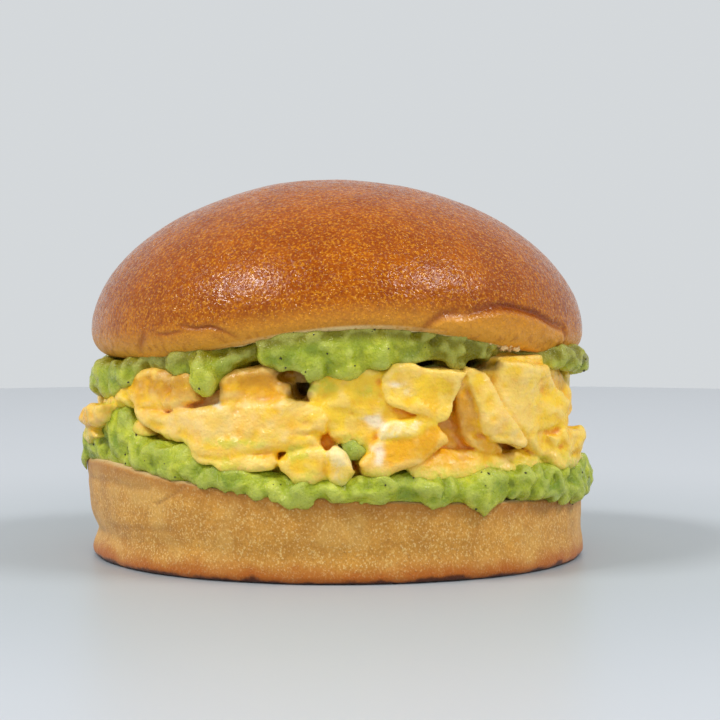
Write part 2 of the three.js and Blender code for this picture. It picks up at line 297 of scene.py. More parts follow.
heel_azimuth = np.arange(HEEL_SECTORS)[:, None] * 360 / HEEL_SECTORS
heel_edge = heel_top(heel_azimuth, HEEL_RADIUS)
face = np.linspace(0, 1, FACE_RINGS)[:-1] ** 0.7 * (HEEL_RADIUS - 0.9)
side = np.linspace(1, 0, SIDE_RINGS) ** 1.15
foot = np.linspace(1, 0, FOOT_RINGS)[1:]
heel_rings = []
for reach in face:
    spot = place(heel_azimuth, reach, 0)
    pores = 0.35 * lumps(spot, 1.4, 3) * ease(reach, 30, 45)
    heel_rings.append(place(heel_azimuth, reach, heel_top(heel_azimuth, reach) + pores))
# Painted shade along the heel's crack and wrinkles, kept as a mark for its colour.
heel_crease_shade = np.zeros((HEEL_SECTORS, len(face) + len(side) + len(foot)))
for n, share in enumerate(side):
    height = heel_edge * share
    lip = 0.8 * np.clip((share - 0.955) / 0.045, 0, 1) ** 2
    spot = place(heel_azimuth, HEEL_RADIUS, height)
    uneven = 0.35 * lumps(spot, 16, 1) + 0.16 * lumps(spot, 6, 2) + 0.07 * lumps(spot, 2.2, 4)
    crack = bell(near_line(heel_azimuth, height, LINES_AT, HEEL_CRACK), 0.3)
    fold = sum(bell(near_line(heel_azimuth, height, LINES_AT, w), 0.8) for w in HEEL_WRINKLES)
    reach = heel_reach(heel_azimuth, height) - lip + uneven - 0.3 * crack - 0.16 * fold
    heel_rings.append(place(heel_azimuth, reach, height + 0.25 * share**8 * lumps(spot, 3, 5)))
    heel_crease_shade[:, len(face) + n] = np.clip(crack + 0.45 * fold, 0, 1)[:, 0]
for share in foot:
    heel_rings.append(place(heel_azimuth, (HEEL_RADIUS - HEEL_FOOT) * share, np.zeros_like(heel_azimuth)))
heel_points = np.concatenate(heel_rings, axis=1)
ring = np.arange(heel_points.shape[1])[None, :]
heel = skin_of(
    "heel_crust_and_crumb",
    heel_points,
    crease=heel_crease_shade,
    crumb=1 - ease(ring - len(face), -1.5, 3),
    # a red-brown band just below the cut edge: partly a moist stain, partly painted shade under the avocado
    stain=ease(heel_points[..., 2] - heel_edge, -4.5, -0.8),
)

f, blister = crust("golden heel crust", "b87c2c", "da9c3e", "cc8c38", "fbe0a0", 1, 7)
fibre = f.noise(0.45, 3, 0.6, 0.4, upright=0.7)
f.lay(f.span(fibre, 0.54, 0.66), "f6d68c", 0.52)
f.lay(f.span(fibre, 0.46, 0.34), "a8702a", 0.4)
f.lay(f.patches(11, 0.5, 0.7), "ebbd68", 0.4)
# Partly a moist stain, partly painted shade: the red-brown band under the avocado.
f.lay(f.mark("stain"), "a4601c", 0.5)
scorch = f.shifted(f.height(), f.noise(5, 3), 4 * MM)
f.lay(f.span(scorch, 4.4 * MM, 0.8 * MM), "b25808", 0.85)
f.lay(f.span(scorch, 1.1 * MM, 0.2 * MM), "5c2808")
# Painted shade in the crack and the wrinkles.
f.lay(f.mark("crease"), "945a20", 0.6)
f.lay(f.mark("crumb"), crumb_colour(f))
f.dress(
    heel,
    Roughness=f.span(f.noise(1.2), 0.3, 0.7, 0.5, 0.72),
    Normal=f.bump(fibre, 0.14, under=f.bump(blister, 0.05)),
    Specular_IOR_Level=0.3,
    Subsurface_Weight=0.1,
    Subsurface_Radius=(0.002, 0.001, 0.0005),
    Subsurface_Scale=1.0,
    Sheen_Weight=0.12,
)

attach(heel, "root")
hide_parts("bun_heel")

# ---- The lower spread of avocado ----
# Ripe avocado mashed with a fork and pressed flat by the egg, so it squeezes past the rim of the heel
# and hangs over it in drips. It is a lumpy paste, moist, with ground pepper in it.

# The paste and the egg are shaped as signed distances, inside negative, on one grid of this step.
CELL = 0.45
GRID = tuple(np.arange(low, high, CELL) for low, high in ((-58, 58), (-58, 58), (9, 53)))
grid_x, grid_y, GRID_HEIGHT = np.ix_(*GRID)
GRID_REACH = np.hypot(grid_x, grid_y)
GRID_AZIMUTH = np.degrees(np.arctan2(grid_x, -grid_y))
EGG_FLOOR, EGG_ROOF = 21.4, 40.2  # where the two spreads lie against the egg
LUMPS = 480  # the lumps on the edge of each spread
EDGE_ROUND = 2.8  # how round that edge is
# azimuth, then the height of the top and of the bottom of the spread's edge, and its reach
LOWER_EDGE = [
    (-100, 26, 18.0, 54.0), (-88, 25, 15.6, 54.9), (-78, 28.5, 17.0, 54.6), (-70, 31.5, 18.8, 54.2),
    (-63, 33.2, 19.4, 53.8), (-57, 33.2, 19.6, 53.4), (-53.5, 30.6, 19.6, 53.4), (-51.5, 27.6, 19.6, 53.6),
    (-48, 26.4, 19.4, 53.8), (-43, 26.4, 19.2, 53.8), (-35, 26.6, 18.3, 53.8), (-30, 24, 18.2, 53.9),
    (-18, 21.9, 16.4, 54.3), (-8, 20.6, 15, 54.5), (4, 20.6, 14.9, 54.6), (13, 21.8, 15.7, 54.5),
    (19, 21.4, 15.8, 54.7), (22, 20.8, 14.2, 55.1), (26, 20.6, 15.9, 54.8), (30, 20.8, 15.4, 55),
    (33.5, 21.2, 12.6, 55.5), (38, 21.4, 15, 55.1), (50, 21.8, 13.8, 55), (63, 21.8, 12.4, 55.2),
    (78, 21, 12, 55.3), (92, 19.8, 12, 55.2), (106, 20.8, 13, 54.8), (128, 22.4, 13.2, 54.6),
    (146, 21, 15.4, 54), (160, 21.6, 12.4, 54.6), (175, 22.6, 15.8, 54), (196, 23.6, 16, 54),
    (216, 22.6, 16.4, 54), (232, 23, 13.8, 54.8), (246, 24.6, 17.8, 54),
]
# dabs of mash with a shape of their own: azimuth, reach and height, then the radii, the spin and the tone
LOWER_DABS = [((4, 49.9, 26.2), (2.4, 2.2, 2.1), -0.6, -1.4), ((34, 52.8, 16), (2.6, 1.9, 3), 0.2, 0.9)]


def drift(size, seed):
    """Smooth unevenness over the whole grid, from about -1 to 1, in lumps about size across."""
    rng = np.random.default_rng(seed)
    splines = []
    for axis in GRID:
        t = (axis - axis[0]) / size
        i = t.astype(int)
        s = t - i
        row = np.arange(len(axis))
        weights = np.zeros((len(axis), i[-1] + 4), np.float32)
        weights[row, i] = (1 - s) ** 3 / 6
        weights[row, i + 1] = (3 * s**3 - 6 * s**2 + 4) / 6
        weights[row, i + 2] = (-3 * s**3 + 3 * s**2 + 3 * s + 1) / 6
        weights[row, i + 3] = s**3 / 6
        splines.append(weights)
    knots = rng.uniform(-2.6, 2.6, [w.shape[1] for w in splines]).astype(np.float32)
    along = np.tensordot(splines[0], knots, 1)
    return np.matmul(np.matmul(splines[1], along), splines[2].T)


def edge_at(table, azimuth):
    """The top, the bottom and the reach of a spread's edge at each azimuth."""
    at, *columns = np.array(table).T
    return [np.interp(azimuth, at, column, period=360) for column in columns]


def rounded(a, b, r):
    """Signed distance to a form whose edges have the radius r, from the distances a and b inside them."""
    return np.hypot(np.maximum(a, 0), np.maximum(b, 0)) + np.minimum(np.maximum(a, b), 0) - r


def slab(top, bottom, reach, round_by):
    """Signed distance to a disc with rounded edges."""
    half = (top - bottom) / 2
    r = np.minimum(round_by, half)
    return rounded(GRID_REACH - (reach - r), np.abs(GRID_HEIGHT - (top + bottom) / 2) - (half - r), r)


def block_of(low, high):
    """The part of the grid between two corners."""
    return tuple(slice(*np.searchsorted(axis, ends)) for axis, ends in zip(GRID, zip(low, high)))


def merge(field, tones, block, new, tone, blend):
    """Presses a new form into a block of the field, softly joined, and colours it."""
    old = field[block]
    tones[block] += (tone - tones[block]) / (1 + np.exp(np.clip((new - old) / 0.3, -30, 30)))
    step = np.maximum(blend - np.abs(new - old), 0) / blend
    field[block] = np.minimum(new, old) - step * step * blend / 4


def press_lump(field, tones, centre, radii, spin, tone, blend=0.35):
    """Adds one rounded lump: radii along, out and up, turned by spin in the plane of the side."""
    azimuth = math.atan2(centre[0], -centre[1])
    reach = max(radii) + 1.5
    block = block_of(centre - reach, centre + reach)
    x, y, z = np.ix_(*(axis[part] - c for axis, part, c in zip(GRID, block, centre)))
    along = x * math.cos(azimuth) + y * math.sin(azimuth)
    out = x * math.sin(azimuth) - y * math.cos(azimuth)
    u = along * math.cos(spin) + z * math.sin(spin)
    v = z * math.cos(spin) - along * math.sin(spin)
    size = np.sqrt((u / radii[0]) ** 2 + (out / radii[1]) ** 2 + (v / radii[2]) ** 2)
    merge(field, tones, block, (size - 1) * min(radii), tone, blend)


def mashed(table, dabs, field, seed, blend):
    """Gives a slab of avocado the lumps and smears that a fork leaves, and the tones of the lumps."""
    field = field.astype(np.float32) - outer * 0.5 * drift(6, seed)
    rng = np.random.default_rng(seed + 1)
    tones = (0.9 * drift(5, seed + 2) + 0.5 * drift(2, seed + 3)).astype(np.float32)
    for _ in range(LUMPS):
        azimuth = rng.uniform(0, 360)
        top, bottom, reach = edge_at(table, azimuth)
        radii = np.minimum(rng.uniform(0.8, 2.3) * rng.uniform(0.8, 1.5, 3), (top - bottom) / 2)
        level = bottom + radii[2] * 0.9 + (top - bottom - 1.8 * radii[2]) * rng.uniform()
        into_round = max(0, abs(level - (top + bottom) / 2) - (top - bottom) / 2 + EDGE_ROUND)
        face = reach - 0.7 - (EDGE_ROUND - math.sqrt(EDGE_ROUND**2 - into_round**2))
        spot = place(azimuth, face + rng.uniform(-0.4, 0.4) - radii[1], level)
        press_lump(field, tones, spot, radii, rng.uniform(-1, 1), rng.uniform(-1.2, 1.3), 0.9)
    for spot, radii, spin, tone in dabs:
        press_lump(field, tones, place(*spot), radii, spin, tone, blend)
    ridges = 1 - 2.2 * np.abs(drift(3.2, seed + 2))
    nubs = 0.34 * drift(2, seed + 3) + 0.34 * drift(1.15, seed + 4)
    return field - (outer * (0.26 * ridges + nubs)).astype(np.float32), tones


def blurred(field, passes):
    for _ in range(passes):
        for axis in range(3):
            a = np.moveaxis(field, axis, 0)
            b = a.copy()
            b[1:-1] = (a[:-2] + 2 * a[1:-1] + a[2:]) / 4
            field = np.moveaxis(b, 0, axis)
    return field


def read_at(field, points):
    """The grid field's value at each point."""
    q = (points - [axis[0] for axis in GRID]) / CELL
    cell = np.clip(q.astype(int), 0, np.array(field.shape) - 2)
    return between(cell, q - cell, lambda i, j, k: field[i, j, k])


def bearing(at):
    """The azimuth and the reach of each point."""
    return np.degrees(np.arctan2(at[:, 0], -at[:, 1])), np.hypot(at[:, 0], at[:, 1])


def depth_in(at):
    """How deep in between the layers a point lies, where no light reaches it."""
    return 1 - ease(bearing(at)[1], 43, 48.4)


def out_of_sight(at):
    return bearing(at)[1] < 42


def cast_from(name, field, marks, hidden_at=out_of_sight):
    """The mesh of the surface where field is 0, closed flat where nothing shows."""
    field = field.copy()
    for n in range(3):
        np.moveaxis(field, n, 0)[[0, -1]] = 9
    inside = field < 0
    corners = list(np.ndindex(2, 2, 2))
    shape = [length - 1 for length in field.shape]
    windows = [tuple(slice(o, o + n) for o, n in zip(corner, shape)) for corner in corners]
    count = sum(inside[window].astype(np.int8) for window in windows)
    cells = np.argwhere((count > 0) & (count < 8))
    number = np.full(shape, -1, np.int64)
    number[tuple(cells.T)] = np.arange(len(cells))
    values = {c: field[tuple((cells + c).T)] for c in corners}
    total, hits = np.zeros((len(cells), 3)), np.zeros(len(cells))
    for a in corners:
        for n in range(3):
            if a[n]:
                continue
            b = tuple(v + (m == n) for m, v in enumerate(a))
            crossed = (values[a] < 0) != (values[b] < 0)
            t = values[a] / np.where(crossed, values[a] - values[b], 1)
            spot = np.array(a, float) + t[:, None] * np.eye(3)[n]
            total += np.where(crossed[:, None], spot, 0)
            hits += crossed
    verts = (cells + total / hits[:, None]) * CELL + [axis[0] for axis in GRID]
    faces = []
    for n in range(3):
        u, v = (n + 1) % 3, (n + 2) % 3
        low = np.moveaxis(inside, n, 0)
        flips = np.argwhere(np.moveaxis(low[:-1] != low[1:], 0, n))
        into = inside[tuple(flips.T)]
        step_u, step_v = np.eye(3, dtype=int)[u], np.eye(3, dtype=int)[v]
        quad = [number[tuple((flips - d).T)] for d in (step_u + step_v, step_v, 0 * step_u, step_u)]
        quad = np.stack(quad, axis=-1)
        faces.append(np.where(into[:, None], quad, quad[:, ::-1]))
    faces = np.concatenate(faces)
    edges = np.concatenate([faces[:, [m, (m + 1) % 4]] for m in range(4)])
    near = np.bincount(edges[:, 0], minlength=len(verts))[:, None]
    sums = [np.bincount(edges[:, 0], verts[edges[:, 1], m], len(verts)) for m in range(3)]
    verts = verts * 0.5 + 0.5 * np.stack(sums, axis=-1) / np.maximum(near, 1)
    faces = faces[~hidden_at(verts)[faces].all(axis=1)]
    mesh = mesh_of(name, (verts * MM).tolist(), faces.tolist())
    for mark, values in marks.items():
        add_mark(mesh, mark, values(verts) if callable(values) else read_at(values, verts))
    bm = bmesh.new()
    bm.from_mesh(mesh)
    bmesh.ops.delete(bm, geom=[v for v in bm.verts if not v.link_faces], context="VERTS")
    bmesh.ops.holes_fill(bm, edges=[e for e in bm.edges if e.is_boundary], sides=0)
    bmesh.ops.triangulate(bm, faces=[face for face in bm.faces if len(face.verts) > 4])
    bm.to_mesh(mesh)
    bm.free()
    mesh.shade_smooth()
    return put(name, mesh)


outer = ease(GRID_REACH, 42, 48)
top, bottom, reach = np.array(edge_at(LOWER_EDGE, GRID_AZIMUTH), np.float32)
top = EGG_FLOOR + (top - EGG_FLOOR) * outer
bottom = HEEL_TOP - 4 + (bottom - HEEL_TOP + 4) * outer
lower_slab = slab(top, bottom, reach - 1.2, EDGE_ROUND)
lower_field, lower_tones = mashed(LOWER_EDGE, LOWER_DABS, lower_slab, 11, 1.2)
heel_face = heel_top(GRID_AZIMUTH, np.minimum(GRID_REACH, HEEL_RADIUS))
heel_field = np.maximum(GRID_HEIGHT - heel_face, GRID_REACH - heel_reach(GRID_AZIMUTH, GRID_HEIGHT) - 0.3)
lower_field = np.maximum(lower_field, -0.2 - heel_field).astype(np.float32)

lower = cast_from(
    "lower_avocado_mash",
    lower_field,
    {"hollow_shade_and_ridge_light": (lower_field - blurred(lower_field, 6)) / 0.3, "tone": lower_tones, "deep": depth_in},
)

f = Finish("moist mashed avocado")
tone = f.shifted(f.mark("tone"), f.noise(2.6, 4, 0.6, 0.5), 4.0)
f.colour = f.mix(f.span(tone, -1.1, 0.2), "849a2a", "a9b52c")
f.lay(f.span(tone, 0.2, 1.5), "d2d53e")
f.lay(f.patches(8, 0.5, 0.66), "90a028", 0.4)
# Painted shade in the hollows between the lumps.
f.lay(f.span(f.mark("hollow_shade_and_ridge_light"), 0.1, 1.0), "687406", 0.75)
# Painted shade, olive, where the upper spread lies back under the crown.
f.lay(f.mark("shade_under_crown"), "7a6e06", 0.8)
# Painted shade, dark brown, deep in between the layers where no light reaches.
f.lay(f.mark("deep"), "4a3410", 0.9)
# Painted light on the ridges of the lumps, paler.
f.lay(f.span(f.mark("hollow_shade_and_ridge_light"), -0.15, -0.9), "d6d870", 0.35)
dust = f.times(f.span(f.cells(0.9), 0.1, 0.05), f.patches(2.4, 0.48, 0.6, 1))
f.lay(dust, "4a5216", 0.7)
f.dress(
    lower,
    Roughness=f.span(f.noise(0.9), 0.35, 0.65, 0.1, 0.34),
    Normal=f.bump(f.noise(0.5, 3, 0.6), 0.3, under=f.bump(f.noise(1.3, 3), 0.5)),
    Specular_IOR_Level=0.38,
    Subsurface_Weight=0.15,
    Subsurface_Radius=(0.0014, 0.0018, 0.0004),
    Subsurface_Scale=1.0,
)

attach(lower, "root")
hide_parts("avocado_lower")

# ---- The scrambled egg ----
# Eggs beaten and pushed about in a pan, so they set in large soft folds, flaps and curds. They are
# stacked loosely: the folds at the front hold the shapes that show, and dark hollows lie between them.

EGG_CORE = 45.4
# out is a fold's reach, thick its depth, round its edge, tip how far it leans out for each mm up, swing
# for each mm to the right, and tone its yolk; corners are (azimuth, height) round it from outside.
FRONT_FOLDS = {
    "far left tube": dict(out=55.6, thick=7, round=1.8, tone=0.6, corners=[
        (-81, 30.8), (-68, 33.3), (-60, 33.2), (-60, 29.6), (-68, 27.6), (-77, 27.8),
    ]),
    "tail of the tube": dict(out=54.4, thick=6, round=1.2, tone=0.5, corners=[
        (-90, 27.1), (-68, 28.6), (-65, 26.2), (-73, 24.4),
    ]),
    "pale fold, far left": dict(out=51.6, thick=8, round=2, tone=0.1, corners=[
        (-76, 33.4), (-62, 36.2), (-54, 36), (-54, 32.4), (-62, 30.6), (-74, 31),
    ]),
    "left shelf": dict(out=51, thick=9, round=1.8, tip=-0.16, tone=0.55, corners=[
        (-60, 35.6), (-58.5, 39), (-48, 41), (-35, 40.6), (-31.6, 38.4), (-32.2, 35), (-37, 32.9),
        (-51, 33), (-57.4, 33.8),
    ]),
    "left chip": dict(out=51.6, thick=7, round=1.4, tone=0.3, corners=[
        (-59.5, 29.4), (-51, 30.2), (-48.6, 27.6), (-56.4, 26.2),
    ]),
    # Its deep yolk tone is partly painted shade, from the hanging lobe above it.
    "behind the hanging lobe": dict(out=49.8, thick=9, round=1.8, tip=-0.1, swing=-0.05, tone=0.9, corners=[
        (-27.6, 38.6), (-24, 41.4), (-17, 42.8), (-11, 41.8), (-8.6, 38.5), (-10, 34.6), (-16, 32.8),
        (-23, 32.4), (-26.6, 34.7),
    ]),
    "big smear": dict(out=51.9, thick=9, round=1.8, tip=-0.12, tone=0.3, corners=[
        (-53, 33.7), (-41, 32.9), (-32.3, 33.3), (-25, 34.6), (-16.3, 35.7), (-8, 36.4), (-2.6, 35),
        (-0.8, 32), (-1.4, 29.2), (-8, 28), (-26, 27.2), (-46, 28.6), (-51.4, 31),
    ]),
    "smear, lower half": dict(out=52.6, thick=9, round=2.2, tip=-0.22, tone=0.25, corners=[
        (-46, 29.2), (-31, 29.8), (-16.6, 29.6), (-3, 30), (-2.6, 27), (-8, 25.6), (-24.7, 24.2),
        (-31, 24.5), (-34, 26.4), (-41, 27.6),
    ]),
    "lower lip": dict(out=53.3, thick=8, round=1.7, tip=-0.3, tone=0.2, corners=[
        (-33, 25.4), (-23, 25), (-12.6, 25.4), (-11.6, 23.2), (-12.8, 21.3), (-18.5, 21.3), (-25, 22),
        (-31, 23.4),
    ]),
    "small chunk": dict(out=53.4, thick=9, round=1.7, tip=-0.1, tone=0.25, corners=[
        (-11.4, 24), (-7.7, 26.2), (-2.2, 27), (-0.6, 24.5), (-1.4, 20.8), (-4.4, 18.8), (-8.6, 19.2),
        (-11.2, 21.4),
    ]),
    "pale curd": dict(out=54, thick=9, round=1.7, tone=-0.5, corners=[
        (-1.5, 22.7), (-1, 26), (1, 27.5), (3.2, 26.6), (5.3, 23), (3.2, 20.2), (0.2, 18.8), (-1.3, 20.4),
    ]),
    "centre fold": dict(out=50.6, thick=9, round=1.2, tip=-0.05, swing=0.02, tone=0, corners=[
        (-6.6, 38.2), (-4.2, 40.8), (-0.7, 42.6), (10.7, 41.8), (19, 39), (21, 33.6), (17.6, 29.8),
        (7.1, 26.5), (0.6, 28.1), (-2.4, 31.6),
    ]),
    "its flap": dict(out=52.4, thick=3.6, round=0.7, tip=-0.08, tone=0.05, corners=[
        (9.6, 40.2), (13, 42.2), (20.7, 41.6), (30.6, 40.8), (28.4, 36.4), (26.2, 32.4), (24.6, 30.6),
        (22.6, 30.4), (19.6, 32), (14.9, 33.5), (10.6, 36.3),
    ]),
    "roll, its top edge": dict(out=52.8, thick=7, round=0.6, tip=-0.3, tone=-0.5, corners=[
        (8.6, 30.4), (11.4, 32.1), (20.9, 32), (23.3, 30.6), (18.1, 29), (12.7, 28.6), (9.2, 28.9),
    ]),
    "roll": dict(out=53.2, thick=9, round=1.3, tip=-0.16, tone=1.0, corners=[
        (8.8, 28.8), (12.8, 29.2), (17.7, 30), (21.4, 31.4), (23.7, 29.2), (25.2, 26.5), (20, 24.5),
        (15.1, 22.2), (10.3, 20.6), (6.7, 22.2), (5.7, 24.1), (7.6, 26.4),
    ]),
    "flat slab": dict(out=52.5, thick=9, round=1.2, tip=-0.55, tone=0.35, corners=[
        (14.5, 23), (18.8, 24.4), (25.7, 25.8), (37.3, 25.6), (55.5, 24.6), (80, 22.4), (88, 19),
        (54.2, 19.9), (37.3, 20), (25.7, 20.2), (16.2, 20.4),
    ]),
    "curled strip": dict(out=51, thick=6, round=0.7, swing=-0.05, tone=0.9, corners=[
        (29.4, 40.4), (33.5, 40.4), (34.5, 35.4), (35, 32.4), (34.8, 30.6), (35.8, 29.2), (38, 28),
        (40.8, 26.9), (42.3, 25.4), (40.6, 24.1), (35.4, 25.2), (30.6, 26.4), (28.6, 28.4), (28.6, 32.6),
        (29, 36.3),
    ]),
    "pointed ear": dict(out=53, thick=3.2, round=0.6, tip=-0.06, swing=0.14, tone=0.15, corners=[
        (30.4, 41.6), (35.4, 40.8), (37.7, 37.6), (39.8, 34.4), (42.5, 31.1), (46, 26.9), (44.6, 25.4),
        (40.5, 26.8), (37.4, 27.4), (33.6, 28.9), (32.3, 31.5), (32.7, 34.1), (31.4, 37),
    ]),
    "pillar neck": dict(out=50.8, thick=8, round=1.4, tone=0.1, corners=[
        (41, 47.6), (55.5, 47), (56.5, 39), (39.4, 39),
    ]),
    "pillar body": dict(out=52.9, thick=9, round=1.3, swing=0.06, tone=0.05, corners=[
        (38.2, 40.2), (39.8, 43), (44, 43.4), (54, 42), (58, 37.4), (62.2, 33), (62.2, 29.8), (60, 25.8),
        (56.3, 23.2), (50.3, 24.6), (45.8, 27.4), (42.6, 31), (39.8, 34.6), (38, 37.4),
    ]),
    "outer right fold": dict(out=51.2, thick=8, round=1.6, tone=0.5, corners=[
        (55.6, 41), (66.6, 41.4), (71, 35), (71, 31), (65.4, 29.3), (58, 30.4),
    ]),
    "right block": dict(out=54.4, thick=8, round=1.5, tone=0.1, corners=[
        (54, 28.3), (59.2, 29.4), (69, 28.3), (71, 25.3), (69, 22.5), (57, 23.2),
    ]),
    "right end": dict(out=54.6, thick=8, round=1.2, tone=0.2, corners=[
        (55.6, 24.2), (70.3, 23), (74, 20.4), (56.5, 20.7),
    ]),
}
# Round the sides and the back the folds lie in tiers, each turned and sized a little differently.
BACK_TIERS = [
    dict(level=24, count=8, width=29, height=9, out=52.4),
    dict(level=30.2, count=9, width=26, height=10, out=51.2),
    dict(level=36.6, count=8, width=28, height=10, out=50.6),
]
BACK_FROM, BACK_TO = 78, 276
BACK_NARROW = 1.6  # how much less the tiers reach out at the right


def chance(i, j, k):
    s = math.sin(i * 127.1 + j * 311.7 + k * 74.7) * 43758.5453
    return s - math.floor(s)


def back_folds():
    """The folds of the tiers, each as an uneven rounded outline of its own."""
    for tier, row in enumerate(BACK_TIERS):
        for i in range(row["count"]):

            def vary(spread, draw):
                return spread * (2 * chance(tier, i, draw) - 1)

            middle = BACK_FROM + (BACK_TO - BACK_FROM) * (i + 0.5) / row["count"] + vary(5, 1)
            level = row["level"] + vary(1.2, 2)
            width = row["width"] * (1 + vary(0.25, 4)) / 2
            height = row["height"] * (1 + vary(0.2, 5)) / 2
            roll, corners = math.radians(vary(24, 6)), []
            for n in range(9):
                a = math.tau * n / 9
                size = 1 + 0.2 * (2 * chance(tier * 9 + i, n, 9) - 1)
                u = width * size * math.copysign(abs(math.cos(a)) ** 0.7, math.cos(a))
                v = height * size * math.copysign(abs(math.sin(a)) ** 0.7, math.sin(a))
                along = u * math.cos(roll) - v * math.sin(roll)
                up = u * math.sin(roll) + v * math.cos(roll)
                corners.append((middle + math.degrees(along / row["out"]), level + up))
            out = row["out"] + vary(1.4, 3) - BACK_NARROW * float(swell(middle, 84, 20))
            lean = dict(tip=vary(0.2, 7), swing=vary(0.08, 8))
            look = dict(round=1.6 + vary(0.6, 10), tone=0.3 + vary(0.5, 11))
            yield dict(corners=corners, out=out, thick=8, **lean, **look)


def outline_distance(u, v, corners):
    """Signed distance in the plane to a closed outline, inside negative."""
    best, within = None, False
    for (x0, y0), (x1, y1) in zip(corners, corners[1:] + corners[:1]):
        ex, ey = x1 - x0, y1 - y0
        wx, wy = u - x0, v - y0
        t = np.clip((wx * ex + wy * ey) / (ex * ex + ey * ey), 0, 1)
        gap = (wx - ex * t) ** 2 + (wy - ey * t) ** 2
        best = gap if best is None else np.minimum(best, gap)
        cross = ex * wy - ey * wx
        within = within ^ ((v >= y0) & (v < y1) & (cross > 0)) ^ ((v < y0) & (v >= y1) & (cross < 0))
    return np.sqrt(best) * np.where(within, -1, 1)


def press_fold(field, tones, fold, blend):
    """Adds one fold to the heap's field, and its tone to the tones."""
    corners = fold["corners"]
    middle = sum(a for a, _ in corners) / len(corners)
    level = sum(z for _, z in corners) / len(corners)
    out, thick, r = fold["out"], fold["thick"], fold["round"]
    plane = [(way_round(middle, a, out), z - level) for a, z in corners]
    low, high = min(a for a, _ in corners) - 4, max(a for a, _ in corners) + 4
    rim = place(np.linspace(low, high, 30)[:, None], np.array([out - thick - 3, out + 4]), 0).reshape(-1, 3)
    heights = [z for _, z in corners]
    block = block_of([*rim.min(axis=0)[:2], min(heights) - 4], [*rim.max(axis=0)[:2], max(heights) + 4])
    u = way_round(middle, GRID_AZIMUTH[block[:2]], out) + wander[0][block]
    v = GRID_HEIGHT[:, :, block[2]] - level + wander[1][block]
    front = out + fold.get("tip", 0) * v + fold.get("swing", 0) * u + wander[2][block]
    depth = np.abs(GRID_REACH[block[:2]] - front + thick / 2) - thick / 2 + r
    edge = outline_distance(u, v, plane) + r
    merge(field, tones, block, rounded(edge, depth, r), fold["tone"], blend)


# Holes that run in between the folds: azimuth, reach and height, then the radii along, out and up.
PITS = [
    ((-9.6, 49, 40.2), (3.2, 9, 1.3)),
    ((-7.8, 49, 38.2), (1.9, 9, 2.8)),
    ((22.4, 49, 42.6), (2.6, 9, 0.6)),
    ((36.2, 49, 42), (2.8, 9.5, 1.0)),
    ((-86, 53, 29.4), (1.6, 3, 1.0)),
]


def shaded_pit(at):
    """How far a point lies in the shade of a hole, or deep between the layers."""
    azimuth, reach = bearing(at)
    shade = depth_in(at)
    for (middle, middle_reach, level), radii in PITS:
        along = way_round(middle, azimuth, middle_reach)
        size = np.hypot(along / radii[0], (at[:, 2] - level) / radii[2])
        shade = np.maximum(shade, 0.75 * ease(reach, 53, 50) * (1 - ease(size, 1.1, 1.7)))
    return shade


def pitted(field):
    """The field with the holes cut out of it."""
    for (azimuth, reach, level), radii in PITS:
        hole = np.full_like(field, 9)
        press_lump(hole, np.zeros_like(hole), place(azimuth, reach, level), radii, 0, 0)
        field = np.maximum(field, -hole - 0.4 * wander[1])
    return field


def spotted(at, spots):
    """How much of a spot lies at each point, from (azimuth, height, half width, half height)."""
    azimuth, reach = bearing(at)
    shown = 0
    for middle, level, wide, high in spots:
        along = way_round(middle, azimuth, reach)
        size = np.hypot(along / wide, (at[:, 2] - level) / high) + 0.6 * lumps(at, 1.4, 3)
        shown = np.maximum(shown, 1 - ease(size, 0.3, 1.2))
    return shown


# Spots of white of egg, of paler yolk, of painted shade, browner, on folds that lie in shade, and of avocado
# smeared on the folds.
WHITES = [(8.6, 31.6, 2.3, 1.7), (13.5, 38.8, 1.8, 0.9), (9.6, 25.6, 1.6, 2.6), (-27, 34.4, 1.6, 0.8)]
PALES = [(-24, 31.5, 20, 5), (43, 34, 9, 9)]
SHADE_SPOTS = [(-41, 38.2, 12, 3.2), (-17, 39.4, 7, 2.4), (30, 33, 3, 8)]
GREENS = [(-3.4, 38.4, 4.4, 1.8), (7.6, 37.6, 2.4, 1.2), (-22, 27.4, 7, 1.1), (-8, 25.4, 3, 2.2)]

# The form of the crown, as the heap is pressed against its cut face and its rim.
CROWN_RADIUS, CROWN_TOP, CROWN_WIDEST, CROWN_POWER = 52.5, 79.6, 47.3, 1.9
RIM_LOW, CROWN_FLOOR = 42.2, 46.4


def rim_lift(azimuth):
    return 7.4 * swell(azimuth, 8, 38) + 4.2 * swell(azimuth, 172, 48)


def rim_tuck(azimuth):
    return 4.2 - 2.6 * swell(azimuth, 8, 38)


def crown_floor(azimuth, reach):
    """The height of the crown's cut face."""
    share = reach / (CROWN_RADIUS - rim_tuck(azimuth))
    return CROWN_FLOOR + (RIM_LOW + rim_lift(azimuth) - CROWN_FLOOR) * ease(share, 0.3, 1)


# how far each fold strays along, up and out
wander = [0.7 * drift(7, 21 + n) + 0.4 * drift(3.2, 31 + n) + 0.22 * drift(1.6, 35 + n) for n in range(3)]
core_noise = drift(6, 41) + 0.6 * drift(2.8, 42)
egg_core = EGG_CORE + 2.2 * swell(GRID_AZIMUTH, 5, 70)
egg_field = slab(EGG_ROOF + 3 * outer, EGG_FLOOR - 2 * outer, egg_core, 2.0) - outer * 0.9 * core_noise
egg_field = egg_field.astype(np.float32)
tones = np.full(egg_field.shape, 0.9, np.float32)
for fold in back_folds():
    press_fold(egg_field, tones, fold, 0.8)
for fold in FRONT_FOLDS.values():
    press_fold(egg_field, tones, fold, 0.3)
egg_field -= (outer * 0.3 * drift(2.8, 51)).astype(np.float32)
skin = np.nonzero((np.abs(egg_field) < 1.4) & (GRID_REACH > 45))
at = np.stack([axis[n] for axis, n in zip(GRID, skin)], axis=-1)
